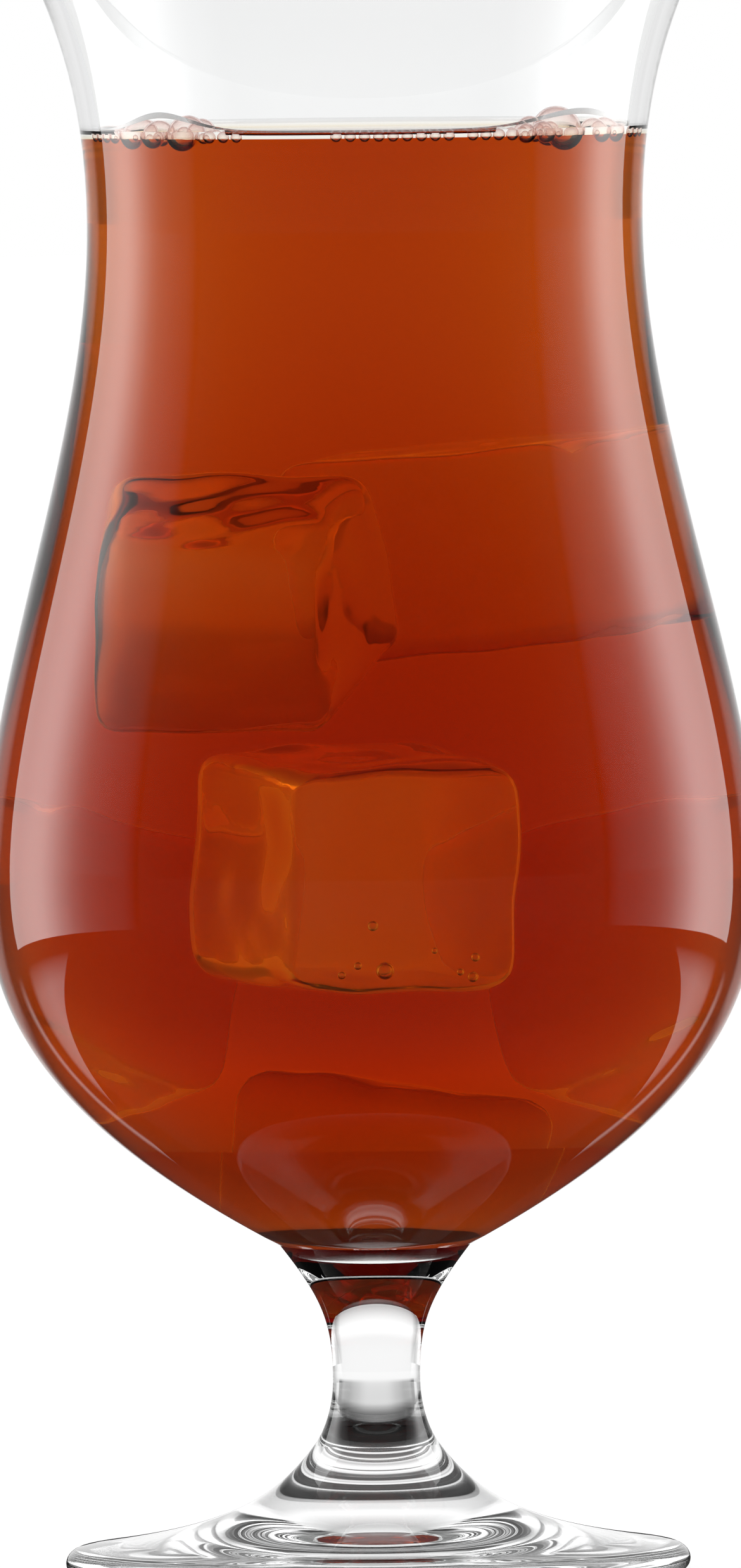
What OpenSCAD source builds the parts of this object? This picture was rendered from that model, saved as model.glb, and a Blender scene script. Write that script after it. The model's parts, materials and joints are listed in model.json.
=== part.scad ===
// Hurricane glass, filled with an iced drink.
// +Z is up, the origin is the middle of the foot's underside, and -Y faces the viewer of the photograph.

/* [Bowl] */
// Height of the lip above the table
overall_h = 190; // [180:1:205]
// Outer diameter at the lip
lip_d = 81; // [76:1:88]
// Outer diameter at the waist
waist_d = 62.2; // [58:0.1:68]
// Height of the waist above the table
waist_h = 151.5; // [145:0.5:156]
// Outer diameter of the belly
belly_d = 86.8; // [82:0.1:92]
// Height of the widest point of the belly
belly_h = 78.5; // [75:0.5:84]
// Thickness of the wall of the bowl
wall_t = 2.2; // [1.6:0.1:3]
// Thickness of the wall at the lip
lip_t = 1.5; // [1.2:0.1:2.2]
// Thickness of the glass where the bowl runs into its floor
floor_t = 3.4; // [2.6:0.1:4.4]

/* [Stem] */
// Diameter of the fused joint between bowl and stem
neck_d = 21.4; // [18:0.1:26]
// Height of that joint above the table
neck_h = 36.9; // [33:0.1:41]
// Diameter of the stem at its thinnest
stem_d = 9.8; // [8:0.1:13]
// Height of the thinnest point above the table
stem_thin_h = 21.8; // [20:0.1:24]

/* [Foot] */
// Diameter of the foot
foot_d = 70; // [64:0.5:78]
// Thickness of the foot at its edge
foot_edge_t = 3; // [2.2:0.1:4]
// Diameter of the fused joint between stem and foot
foot_joint_d = 14; // [12:0.1:18]
// Height of that joint above the table
foot_joint_h = 14.5; // [12.5:0.1:16.5]
// Width of the flat ring that the glass stands on
rest_ring_w = 6; // [4:0.5:9]
// Height of the hollow under the foot
hollow_h = 1.8; // [1:0.1:2.4]

/* [Drink] */
// Height of the drink's surface above the table
drink_h = 161.5; // [150:0.5:168]
// Gap between the drink and the glass
drink_gap = 0.1; // [0.05:0.05:0.3]

/* [Ice] */
// Width and depth of an ice cube
ice_w = 26; // [22:0.5:28]
// Height of an ice cube
ice_h = 24; // [20:0.5:26]
// Flat on each edge of an ice cube
ice_edge = 2.6; // [1.5:0.1:4]
// Gap between an ice cube and what lies next to it
ice_gap = 0.15; // [0.05:0.05:0.4]

/* [Bubbles] */
// Diameter of the largest surface bubbles
froth_large_d = 5.2; // [4:0.1:6.5]
// Diameter of the smallest surface bubbles
froth_small_d = 1.3; // [1:0.1:1.8]
// Gap between a surface bubble and its neighbours
froth_gap = 0.12; // [0.05:0.01:0.3]
// Diameter of the largest bubble clinging to the ice
cling_d = 1.9; // [1:0.1:2.4]
// Gap between a clinging bubble and the drink
cling_gap = 0.05; // [0.02:0.01:0.1]

/* [Hidden] */

$fn = 96;

lip_r = lip_d / 2;
waist_r = waist_d / 2;
belly_r = belly_d / 2;
neck_r = neck_d / 2;
stem_r = stem_d / 2;
foot_r = foot_d / 2;
foot_joint_r = foot_joint_d / 2;

// Points along each curved stretch of an outline
lip_points = 8;
shoulder_points = 14;
belly_points = 16;
stem_points = 10;
foot_points = 12;
round_points = 4;

// How far the stem leans out from upright where it runs into the foot
foot_lean = 36.5;

// Each curve below runs between two named points. Its handles are shares of the way between points,
// first across and then up.
lip_handle_share = 0.17;
waist_up_share = 0.62;
waist_down_share = 0.34;
belly_up_share = 0.295;
belly_down_share = 0.337;
floor_handle_share = [0.85, 0.356];
stem_top_share = [0.817, 0.4];
stem_waist_up_share = 0.42;
stem_waist_down_share = 0.337;
stem_foot_share = 0.314;
foot_top_share = 0.728;
foot_slope_share = [0.597, 0.193];
edge_inset_share = 0.4;
edge_high_share = 0.8;
edge_low_share = 0.15;
hollow_edge_share = 0.6;
hollow_top_share = 0.4;

// Point at share t along a cubic curve from a to d with handles b and c
function curve(a, b, c, d, t) =
    pow(1 - t, 3) * a + 3 * pow(1 - t, 2) * t * b + 3 * (1 - t) * t * t * c + pow(t, 3) * d;

// Direction of the same curve at share t
function heading(a, b, c, d, t) =
    3 * pow(1 - t, 2) * (b - a) + 6 * (1 - t) * t * (c - b) + 3 * t * t * (d - c);

// Unit vector to the left of a direction
function left_of(v) = [-v[1], v[0]] / norm(v);

function mix(a, b, t) = a + (b - a) * t;

function between(a, b, shares) = [mix(a[0], b[0], shares[0]), mix(a[1], b[1], shares[1])];

function last(points) = points[len(points) - 1];

// The outer curve of the bowl, as three stretches from the lip to the neck
lip_point = [lip_r, overall_h - lip_t / 2];
waist_point = [waist_r, waist_h];
belly_point = [belly_r, belly_h];
neck_point = [neck_r, neck_h];
lip_stretch = [
    lip_point,
    [lip_r, mix(lip_point[1], waist_h, lip_handle_share)],
    [waist_r, mix(waist_h, lip_point[1], waist_up_share)],
    waist_point,
];
waist_stretch = [
    waist_point,
    [waist_r, mix(waist_h, belly_h, waist_down_share)],
    [belly_r, mix(belly_h, waist_h, belly_up_share)],
    belly_point,
];
belly_stretch = [
    belly_point,
    [belly_r, mix(belly_h, neck_h, belly_down_share)],
    between(neck_point, belly_point, floor_handle_share),
    neck_point,
];

// Points along a stretch, moved inward by a depth that goes evenly from one value to another
function along(stretch, count, depth_a, depth_b) = [
    for (i = [0 : count])
        let (
            t = i / count,
            p = curve(stretch[0], stretch[1], stretch[2], stretch[3], t),
            v = heading(stretch[0], stretch[1], stretch[2], stretch[3], t)
        )
        p - left_of(v) * mix(depth_a, depth_b, t),
];

function tail(points) = [for (i = [1 : len(points) - 1]) points[i]];

function backward(points) = [for (i = [len(points) - 1 : -1 : 0]) points[i]];

bowl_outer = concat(
    along(lip_stretch, lip_points, 0, 0),
    tail(along(waist_stretch, shoulder_points, 0, 0)),
    tail(along(belly_stretch, belly_points, 0, 0))
);

// The inner face of the bowl, a given gap inside the glass, from the lip down to the middle of the floor
function bowl_inner(gap) =
    let (
        wall = concat(
            along(lip_stretch, lip_points, lip_t + gap, wall_t + gap),
            tail(along(waist_stretch, shoulder_points, wall_t + gap, wall_t + gap)),
            tail(along(belly_stretch, belly_points, wall_t + gap, floor_t + gap))
        ),
        edge = last(wall),
        before = wall[len(wall) - 2],
        run = (edge - before) / norm(edge - before) * edge[0] / 2,
        middle = [0, edge[1] + run[1]]
    )
    concat(
        wall,
        [for (i = [1 : round_points])
            curve(edge, edge + run, [edge[0] / 2, middle[1]], middle, i / round_points)]
    );

// Rounded top of the lip, from its inner face over to its outer face
lip_middle = lip_point - [lip_t / 2, 0];
lip_arc = [
    for (i = [1 : round_points * 2 - 1])
        let (a = 180 - 180 * i / (round_points * 2))
        lip_middle + lip_t / 2 * [cos(a), sin(a)],
];

module bowl() {
    color([0.93, 0.95, 0.96, 0.35])
        rotate_extrude()
            polygon(concat(bowl_outer, [[0, neck_h]], backward(bowl_inner(0)), lip_arc));
}

// The stem's outline from the neck to its thinnest point and on to the foot
stem_thin_point = [stem_r, stem_thin_h];
foot_joint_point = [foot_joint_r, foot_joint_h];
lean_down = [sin(foot_lean), -cos(foot_lean)];
stem_top_stretch = [
    neck_point,
    between(neck_point, stem_thin_point, stem_top_share),
    [stem_r, mix(stem_thin_h, neck_h, stem_waist_up_share)],
    stem_thin_point,
];
stem_low_stretch = [
    stem_thin_point,
    [stem_r, mix(stem_thin_h, foot_joint_h, stem_waist_down_share)],
    foot_joint_point - lean_down * (stem_thin_h - foot_joint_h) * stem_foot_share,
    foot_joint_point,
];

module stem() {
    color([0.9, 0.92, 0.93, 0.35])
        rotate_extrude()
            polygon(concat(
                [[0, neck_h]],
                along(stem_top_stretch, stem_points, 0, 0),
                tail(along(stem_low_stretch, stem_points, 0, 0)),
                [[0, foot_joint_h]]
            ));
}

// The foot's outline: sloping top, rounded edge, flat ring underneath and the hollow inside that ring
edge_inset = foot_edge_t * edge_inset_share;
edge_r = foot_r - edge_inset;
ring_r = edge_r - rest_ring_w;
edge_point = [edge_r, foot_edge_t];
foot_top_stretch = [
    foot_joint_point,
    foot_joint_point + lean_down * (foot_joint_h - foot_edge_t) * foot_top_share,
    edge_point + [-(edge_r - foot_joint_r) * foot_slope_share[0], (foot_joint_h - foot_edge_t) * foot_slope_share[1]],
    edge_point,
];
edge_stretch = [
    edge_point,
    [edge_r + edge_inset * 4 / 3, foot_edge_t * edge_high_share],
    [edge_r + edge_inset * 4 / 3, foot_edge_t * edge_low_share],
    [edge_r, 0],
];
hollow_stretch = [
    [ring_r, 0],
    [ring_r * hollow_edge_share, hollow_h],
    [ring_r * hollow_top_share, hollow_h],
    [0, hollow_h],
];

module foot() {
    color([0.9, 0.92, 0.93, 0.35])
        rotate_extrude()
            polygon(concat(
                [[0, foot_joint_h]],
                along(foot_top_stretch, foot_points, 0, 0),
                tail(along(edge_stretch, round_points * 2, 0, 0)),
                along(hollow_stretch, round_points * 2, 0, 0)
            ));
}

// Inside of the bowl as pairs of height and radius, from the floor upward
function inner_table(gap) = [for (p = backward(bowl_inner(gap))) [p[1], p[0]]];

function inner_r_at(h, gap) = lookup(h, inner_table(gap));

// The space that the drink fills, a given gap inside the glass
module drink_space(gap) {
    top = drink_h - gap + drink_gap;
    rotate_extrude()
        polygon(concat(
            [[0, top], [inner_r_at(top, gap), top]],
            [for (p = bowl_inner(gap)) if (p[1] < top) p]
        ));
}

module drink() {
    color([0.66, 0.2, 0.05, 0.85])
        difference() {
            drink_space(drink_gap);
            for (place = ice_places)
                at_place(place)
                    ice_block(place[2], ice_gap);
            at_place(ice_places[0])
                cling_spheres(cling_gap);
        }
}

// Where the cubes lie: across and back as shares of the inside of the belly, height as a share of the way
// from the neck to the waist. Then the tilt about X, the tilt about Y and the turn about Z in degrees.
// Last, how much of its full size the melting cube has kept.
ice_share = [
    [[-0.025, -0.41, 0.376], [4, 0, 25], 1],
    [[0.025, 0.1, 0.14], [10, 0, 45], 0.82],
    [[-0.545, 0.18, 0.32], [0, 18, 15], 0.86],
    [[0.525, 0.24, 0.32], [0, -16, -22], 0.86],
    [[-0.315, -0.23, 0.62], [22, 0, -20], 0.98],
    [[0.195, 0.365, 0.655], [0, -6, -12], 1],
];
inner_belly_r = belly_r - wall_t;
ice_places = [
    for (s = ice_share)
        [
            [s[0][0] * inner_belly_r, s[0][1] * inner_belly_r, mix(neck_h, waist_h, s[0][2])],
            s[1],
            s[2],
        ],
];

module at_place(place) {
    translate(place[0])
        rotate(place[1])
            children();
}

// An ice cube with a flat along every edge, at a share of the full size and grown all round by a gap
module ice_block(size_share, gap) {
    w = ice_w * size_share + gap * 2;
    h = ice_h * size_share + gap * 2;
    upright = sqrt(2) * (w - ice_edge);
    lying = sqrt(2) * ((w + h) / 2 - ice_edge);
    intersection() {
        cube([w, w, h], center = true);
        rotate([0, 0, 45])
            cube([upright, upright, h], center = true);
        rotate([0, 45, 0])
            cube([lying, w, lying], center = true);
        rotate([45, 0, 0])
            cube([w, lying, lying], center = true);
    }
}

// One cube of the heap, melted away where the glass or an earlier cube is in its place
module ice_cube(index) {
    color([0.95, 0.72, 0.5, 0.7])
        difference() {
            intersection() {
                at_place(ice_places[index])
                    ice_block(ice_places[index][2], 0);
                drink_space(drink_gap + ice_gap);
            }
            for (i = [0 : 1 : index - 1])
                at_place(ice_places[i])
                    ice_block(ice_places[i][2], ice_gap);
        }
}

module ice_cube_front() { ice_cube(0); }
module ice_cube_bottom() { ice_cube(1); }
module ice_cube_left() { ice_cube(2); }
module ice_cube_right() { ice_cube(3); }
module ice_cube_upper_left() { ice_cube(4); }
module ice_cube_upper_back() { ice_cube(5); }

// Bubbles on the front cube's wide face: across, up and diameter, as shares of the face and of the largest
cling_share = [
    [-0.19, -0.19, 0.6],
    [-0.14, -0.38, 1],
    [-0.25, -0.36, 0.45],
    [0.25, -0.33, 0.5],
    [0.24, -0.41, 0.6],
    [0.19, -0.39, 0.4],
    [-0.32, -0.4, 0.45],
    [0.08, -0.3, 0.35],
];

module cling_spheres(gap) {
    for (s = cling_share)
        let (r = cling_d * s[2] / 2)
            translate([s[0] * ice_w, -ice_w / 2 - r - cling_gap, s[1] * ice_h])
                sphere(r = r + gap, $fn = 24);
}

module clinging_bubbles() {
    color([1, 0.8, 0.6, 0.6])
        at_place(ice_places[0])
            cling_spheres(0);
}

// Froth lies in two heaps against the wall, each a long row with a short one inside it.
// Angles run from the front of the glass, to the right.
froth_left_angles = [-76, -27];
froth_left_inner_angles = [-64, -42];
froth_right_angles = [24, 84];
froth_right_inner_angles = [44, 68];
froth_swell_power = 3;
froth_small_share = 0.5;
froth_wall_r = inner_r_at(drink_h, drink_gap);
froth_inner_r = froth_wall_r - froth_large_d - froth_gap * 2;

// Diameter of a row's bubble at an angle: every second one is small, and all swell to the row's middle
function froth_d(arc, angle, index) =
    let (
        t = min(1, (angle - arc[0]) / (arc[1] - arc[0])),
        size_share = index % 2 == 0 ? 1 : froth_small_share
    )
    mix(froth_small_d, froth_large_d, pow(sin(180 * t), froth_swell_power) * size_share);

// A row from an angle to the end of its arc, as angle, distance from the middle and diameter
function froth_row(arc, row_r, angle, index) =
    let (
        d = froth_d(arc, angle, index),
        r = row_r - d / 2 - froth_gap,
        guess = froth_d(arc, angle + d / r * 180 / PI, index + 1),
        step = (d + max(d, guess)) / 2 + froth_gap * 2
    )
    angle > arc[1]
        ? []
        : concat([[angle, r, d]], froth_row(arc, row_r, angle + step / r * 180 / PI, index + 1));

froth_bubbles = concat(
    froth_row(froth_left_angles, froth_wall_r, froth_left_angles[0], 0),
    froth_row(froth_left_inner_angles, froth_inner_r, froth_left_inner_angles[0], 1),
    froth_row(froth_right_angles, froth_wall_r, froth_right_angles[0], 0),
    froth_row(froth_right_inner_angles, froth_inner_r, froth_right_inner_angles[0], 1)
);

module surface_bubbles() {
    color([1, 0.85, 0.75, 0.6])
        for (b = froth_bubbles)
            translate([b[1] * sin(b[0]), -b[1] * cos(b[0]), drink_h + froth_gap])
                intersection() {
                    sphere(d = b[2], $fn = 24);
                    translate([0, 0, b[2] / 2])
                        cube(b[2], center = true);
                }
}

bowl();
stem();
foot();
drink();
ice_cube_front();
ice_cube_bottom();
ice_cube_left();
ice_cube_right();
ice_cube_upper_left();
ice_cube_upper_back();
surface_bubbles();
clinging_bubbles();
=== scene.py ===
"""Looks of a hurricane glass with an iced drink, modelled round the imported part, and its studio."""

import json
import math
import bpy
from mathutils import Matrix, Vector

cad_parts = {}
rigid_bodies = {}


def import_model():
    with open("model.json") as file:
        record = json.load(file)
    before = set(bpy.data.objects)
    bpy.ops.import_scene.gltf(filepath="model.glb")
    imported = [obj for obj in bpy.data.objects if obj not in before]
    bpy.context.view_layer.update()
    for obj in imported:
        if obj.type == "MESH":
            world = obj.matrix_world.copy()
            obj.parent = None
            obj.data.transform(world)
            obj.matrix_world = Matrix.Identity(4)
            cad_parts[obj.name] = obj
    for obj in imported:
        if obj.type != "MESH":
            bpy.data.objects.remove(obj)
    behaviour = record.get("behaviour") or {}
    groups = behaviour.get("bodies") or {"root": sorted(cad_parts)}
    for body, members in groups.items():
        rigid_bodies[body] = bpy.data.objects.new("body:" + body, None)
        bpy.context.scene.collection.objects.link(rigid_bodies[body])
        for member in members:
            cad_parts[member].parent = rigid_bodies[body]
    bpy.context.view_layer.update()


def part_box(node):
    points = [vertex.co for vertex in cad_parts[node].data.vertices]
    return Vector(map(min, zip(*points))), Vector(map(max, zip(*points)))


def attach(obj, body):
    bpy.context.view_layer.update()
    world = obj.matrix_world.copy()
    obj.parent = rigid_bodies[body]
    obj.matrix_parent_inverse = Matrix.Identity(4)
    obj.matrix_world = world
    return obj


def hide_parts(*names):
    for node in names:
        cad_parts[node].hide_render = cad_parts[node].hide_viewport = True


bl_info = {
    "name": "Hurricane Glass",
    "version": (1, 0, 0),
    "blender": (4, 5, 0),
    "location": "View3D > Sidebar > Hurricane Glass",
    "description": "Models a hurricane glass with an iced drink and the studio round it",
    "category": "Add Mesh",
}

from collections import namedtuple

import bpy
from mathutils import Matrix, Vector

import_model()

# Steps round the glass, and along each curved stretch of its outline
TURNS = 224
LIP_STEPS = 24
SHOULDER_STEPS = 44
BELLY_STEPS = 44
STEM_STEPS = 28
FOOT_STEPS = 36
ROUND_STEPS = 12

# Two points closer than this are one
MERGE = 1e-7
# Faces that meet at less than this many degrees are shaded as one
SMOOTH_BELOW = 35
# A face lies flat when this much of its normal points up or down
LEVEL_SHARE = 0.999


# Settings


def length(name, description, default):
    """A size in metres, as a property of the panel."""
    return bpy.props.FloatProperty(
        name=name, description=description, default=default, min=0, unit="LENGTH", precision=5
    )


def number(name, description, default):
    """A plain number, as a property of the panel."""
    return bpy.props.FloatProperty(name=name, description=description, default=default, min=0, precision=4)


def angle(name, description, degrees):
    """An angle, as a property of the panel."""
    return bpy.props.FloatProperty(
        name=name, description=description, default=math.radians(degrees), subtype="ANGLE"
    )


def colour(name, description, default):
    """A colour, as a property of the panel."""
    return bpy.props.FloatVectorProperty(
        name=name, description=description, default=default, size=3, min=0, max=1, subtype="COLOR"
    )


class GlassSizes(bpy.types.PropertyGroup):
    """Sizes of the glass, as in the solids"""

    height: length("Height", "Height of the lip above the table", 0.19)
    lip_d: length("Lip", "Outer diameter at the lip", 0.081)
    lip_t: length("Lip wall", "Thickness of the wall at the lip", 0.0015)
    wall_t: length("Wall", "Thickness of the wall of the bowl", 0.0022)
    floor_t: length("Floor", "Thickness of the glass where the bowl runs into its floor", 0.0034)
    glow_h: length("Glow", "Height up to which the drink's colour fills the glass of the floor", 0.05)
    waist_d: length("Waist", "Outer diameter of the waist", 0.0622)
    waist_h: length("Waist height", "Height of the waist above the table", 0.1515)
    belly_d: length("Belly", "Outer diameter of the belly", 0.0868)
    belly_h: length("Belly height", "Height of the widest point of the belly", 0.0785)
    neck_d: length("Neck", "Diameter of the fused joint between bowl and stem", 0.0214)
    neck_h: length("Neck height", "Height of that joint above the table", 0.0369)
    stem_d: length("Stem", "Diameter of the stem at its thinnest", 0.0098)
    stem_h: length("Stem height", "Height of the thinnest point above the table", 0.0218)
    foot_joint_d: length("Foot joint", "Diameter of the fused joint between stem and foot", 0.014)
    foot_joint_h: length("Foot joint height", "Height of that joint above the table", 0.0145)
    foot_d: length("Foot", "Diameter of the foot", 0.07)
    foot_edge_t: length("Foot edge", "Thickness of the foot at its edge", 0.003)
    ring_w: length("Standing ring", "Width of the flat ring that the glass stands on", 0.006)
    hollow_h: length("Hollow", "Height of the hollow under the foot", 0.0018)


class DrinkSettings(bpy.types.PropertyGroup):
    """Sizes and colour of what the glass holds"""

    level: length("Level", "Height of the drink's surface above the table", 0.1615)
    gap: length("Gap", "Gap between the drink and the glass", 0.00005)
    climb: length("Climb", "How far the drink climbs up the glass at its edge", 0.0009)
    climb_w: length("Climb width", "Width of the edge that climbs", 0.0024)
    ice_w: length("Ice width", "Width and depth of a whole ice cube", 0.026)
    ice_h: length("Ice height", "Height of a whole ice cube", 0.024)
    ice_edge: length("Ice edge", "Rounding of a cube's edges", 0.0034)
    ice_dent: length("Ice dents", "How deep melting has dented the cubes", 0.0016)
    froth_large: length("Large bubble", "Diameter of the largest surface bubbles", 0.0052)
    froth_small: length("Small bubble", "Diameter of the smallest surface bubbles", 0.0013)
    froth_gap: length("Bubble gap", "Gap between a surface bubble and its neighbours", 0.00012)
    froth_lift: number("Bubble lift", "How far a surface bubble is raised, as a share of its diameter", 0.12)
    froth_air: number("Bubble air", "How much of a surface bubble's diameter is air", 0.92)
    heap_h: length("Heap height", "How far the drink's edge swells round the heaps of froth", 0.0021)
    cling_d: length("Clinging bubble", "Diameter of the largest bubble on the ice", 0.0019)
    cling_gap: length("Clinging gap", "Gap between a clinging bubble and the ice", 0.00005)
    passed: colour("Drink", "Light that the drink lets through", (0.9, 0.64, 0.06))
    depth: number("Depth of colour", "How strongly the drink takes light, per metre", 160)
    ice_milk: number("Ice milk", "How milky the ice is, from clear to white", 0.08)


class StudioSettings(bpy.types.PropertyGroup):
    """Camera and lights"""

    distance: length("Distance", "How far the camera stands from the glass", 3.0)
    eye_h: length("Eye height", "Height of the camera above the table", 0.222)
    aim_h: length("Aim height", "Height of the point that the camera looks at", 0.0885)
    lens: number("Lens", "Focal length in millimetres", 616)
    roll: angle("Roll", "How far the camera is rolled", -0.585)
    softbox_h: length("Softbox height", "Height of each softbox", 0.9)
    softbox_away: length("Softbox distance", "Distance of each softbox from the glass", 0.42)
    softbox_from: angle("Softbox from", "Angle from the camera's side to the near edge of each softbox", 70)
    softbox_to: angle("Softbox to", "Angle from the camera's side to the far edge of each softbox", 131.5)
    softbox_light: number("Softbox light", "Brightness of a softbox, where 1 is white", 3.3)


# Outline of the glass

# Each stretch is a cubic curve between two named points. Its handles are shares of the way between points,
# across and up where there are two.
LIP_HANDLE_SHARE = 0.17
WAIST_UP_SHARE = 0.62
WAIST_DOWN_SHARE = 0.34
BELLY_UP_SHARE = 0.295
BELLY_DOWN_SHARE = 0.337
FLOOR_HANDLE_SHARES = (0.85, 0.356)
STEM_TOP_SHARES = (0.817, 0.4)
STEM_WAIST_UP_SHARE = 0.42
STEM_WAIST_DOWN_SHARE = 0.337
STEM_FOOT_SHARE = 0.314
FOOT_TOP_SHARE = 0.728
FOOT_SLOPE_SHARES = (0.597, 0.193)
EDGE_INSET_SHARE = 0.4
EDGE_HIGH_SHARE = 0.8
EDGE_LOW_SHARE = 0.15
HOLLOW_EDGE_SHARE = 0.6
HOLLOW_TOP_SHARE = 0.4

# How far the stem leans outward where it runs into the foot, in degrees
FOOT_LEAN = 36.5


def curve_point(stretch, t):
    """Point at share t along a cubic stretch."""
    a, b, c, d = stretch
    return a * (1 - t) ** 3 + b * 3 * t * (1 - t) ** 2 + c * 3 * t * t * (1 - t) + d * t**3


def heading(stretch, t):
    """Direction of the same stretch at share t."""
    a, b, c, d = stretch
    return ((b - a) * (1 - t) ** 2 + (c - b) * 2 * t * (1 - t) + (d - c) * t * t).normalized()


def along(stretch, steps, depth_a=0, depth_b=0):
    """Points along a stretch, moved inward by a depth that goes evenly from one value to another."""
    points = []
    for i in range(steps + 1):
        t = i / steps
        v = heading(stretch, t)
        points.append(curve_point(stretch, t) + Vector((v.y, -v.x)) * mix(depth_a, depth_b, t))
    return points


def mix(a, b, t):
    """The value at share t between two values."""
    return a + (b - a) * t


def between(a, b, shares):
    """The point at one share across and another up between two points."""
    return Vector((mix(a.x, b.x, shares[0]), mix(a.y, b.y, shares[1])))


def straight_up(a, b, share):
    """The point over or under a, at a share of the way to b's height."""
    return Vector((a.x, mix(a.y, b.y, share)))


def joined(*runs):
    """One run of points from several, without the point that two of them share."""
    points = list(runs[0])
    for run in runs[1:]:
        points += [p for i, p in enumerate(run) if i or (p - points[-1]).length > MERGE]
    return points


def bowl_stretches(s):
    """The outer curve of the bowl, from the lip to the neck."""
    lip = Vector((s.lip_d / 2, s.height - s.lip_t / 2))
    waist = Vector((s.waist_d / 2, s.waist_h))
    belly = Vector((s.belly_d / 2, s.belly_h))
    neck = Vector((s.neck_d / 2, s.neck_h))
    lip_handle = straight_up(lip, waist, LIP_HANDLE_SHARE)
    waist_up = straight_up(waist, lip, WAIST_UP_SHARE)
    waist_down = straight_up(waist, belly, WAIST_DOWN_SHARE)
    belly_up = straight_up(belly, waist, BELLY_UP_SHARE)
    belly_down = straight_up(belly, neck, BELLY_DOWN_SHARE)
    floor_handle = between(neck, belly, FLOOR_HANDLE_SHARES)
    return [
        [lip, lip_handle, waist_up, waist],
        [waist, waist_down, belly_up, belly],
        [belly, belly_down, floor_handle, neck],
    ]


def bowl_outer(s):
    """Points of the bowl's outer face, from the lip to the neck."""
    lip, waist, belly = bowl_stretches(s)
    return joined(along(lip, LIP_STEPS), along(waist, SHOULDER_STEPS), along(belly, BELLY_STEPS))


def bowl_inner(s, gap):
    """Points of the bowl's inner face, a gap inside the glass, from the lip to the middle of the floor."""
    lip, waist, belly = bowl_stretches(s)
    wall = joined(
        along(lip, LIP_STEPS, s.lip_t + gap, s.wall_t + gap),
        along(waist, SHOULDER_STEPS, s.wall_t + gap, s.wall_t + gap),
        along(belly, BELLY_STEPS, s.wall_t + gap, s.floor_t + gap),
    )
    edge = wall[-1]
    run = (edge - wall[-2]).normalized() * edge.x / 2
    middle = Vector((0, edge.y + run.y))
    return joined(wall, along([edge, edge + run, Vector((edge.x / 2, middle.y)), middle], ROUND_STEPS))


def radius_at(points, height):
    """Radius of a run of points that goes down, at a height."""
    for a, b in zip(points, points[1:]):
        if b.y <= height <= a.y:
            return mix(a.x, b.x, (a.y - height) / (a.y - b.y))
    raise ValueError("the outline has no point at this height")


def lean_down():
    """The direction in which the stem runs into the foot."""
    lean = math.radians(FOOT_LEAN)
    return Vector((math.sin(lean), -math.cos(lean)))


def stem_outline(s):
    """Points of the stem, from the neck to the foot."""
    neck = Vector((s.neck_d / 2, s.neck_h))
    thin = Vector((s.stem_d / 2, s.stem_h))
    joint = Vector((s.foot_joint_d / 2, s.foot_joint_h))
    thin_up = straight_up(thin, neck, STEM_WAIST_UP_SHARE)
    thin_down = straight_up(thin, joint, STEM_WAIST_DOWN_SHARE)
    joint_handle = joint - lean_down() * (thin.y - joint.y) * STEM_FOOT_SHARE
    top = [neck, between(neck, thin, STEM_TOP_SHARES), thin_up, thin]
    low = [thin, thin_down, joint_handle, joint]
    return joined(along(top, STEM_STEPS), along(low, STEM_STEPS))


def foot_outline(s):
    """Points of the foot, from the joint over its edge to the middle of the hollow."""
    joint = Vector((s.foot_joint_d / 2, s.foot_joint_h))
    inset = s.foot_edge_t * EDGE_INSET_SHARE
    edge = Vector((s.foot_d / 2 - inset, s.foot_edge_t))
    ring = Vector((edge.x - s.ring_w, 0))
    drop = s.foot_joint_h - s.foot_edge_t
    slope = Vector((-(edge.x - joint.x) * FOOT_SLOPE_SHARES[0], drop * FOOT_SLOPE_SHARES[1]))
    top = [joint, joint + lean_down() * drop * FOOT_TOP_SHARE, edge + slope, edge]
    # A cubic curve reaches three quarters of the way out to its handles
    bulge = edge.x + inset * 4 / 3
    high, low = edge.y * EDGE_HIGH_SHARE, edge.y * EDGE_LOW_SHARE
    side = [edge, Vector((bulge, high)), Vector((bulge, low)), Vector((edge.x, 0))]
    outer, inner = ring.x * HOLLOW_EDGE_SHARE, ring.x * HOLLOW_TOP_SHARE
    hollow = [ring, Vector((outer, s.hollow_h)), Vector((inner, s.hollow_h)), Vector((0, s.hollow_h))]
    return joined(along(top, FOOT_STEPS), along(side, ROUND_STEPS), along(hollow, ROUND_STEPS * 2))


# Modelling


def deselect_all():
    """Leave nothing selected and no mode but Object."""
    if bpy.context.object and bpy.context.object.mode != "OBJECT":
        bpy.ops.object.mode_set(mode="OBJECT")
    bpy.ops.object.select_all(action="DESELECT")


def only(piece):
    """Select one piece and make it the active one."""
    deselect_all()
    piece.hide_set(False)
    piece.select_set(True)
    bpy.context.view_layer.objects.active = piece


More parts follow.
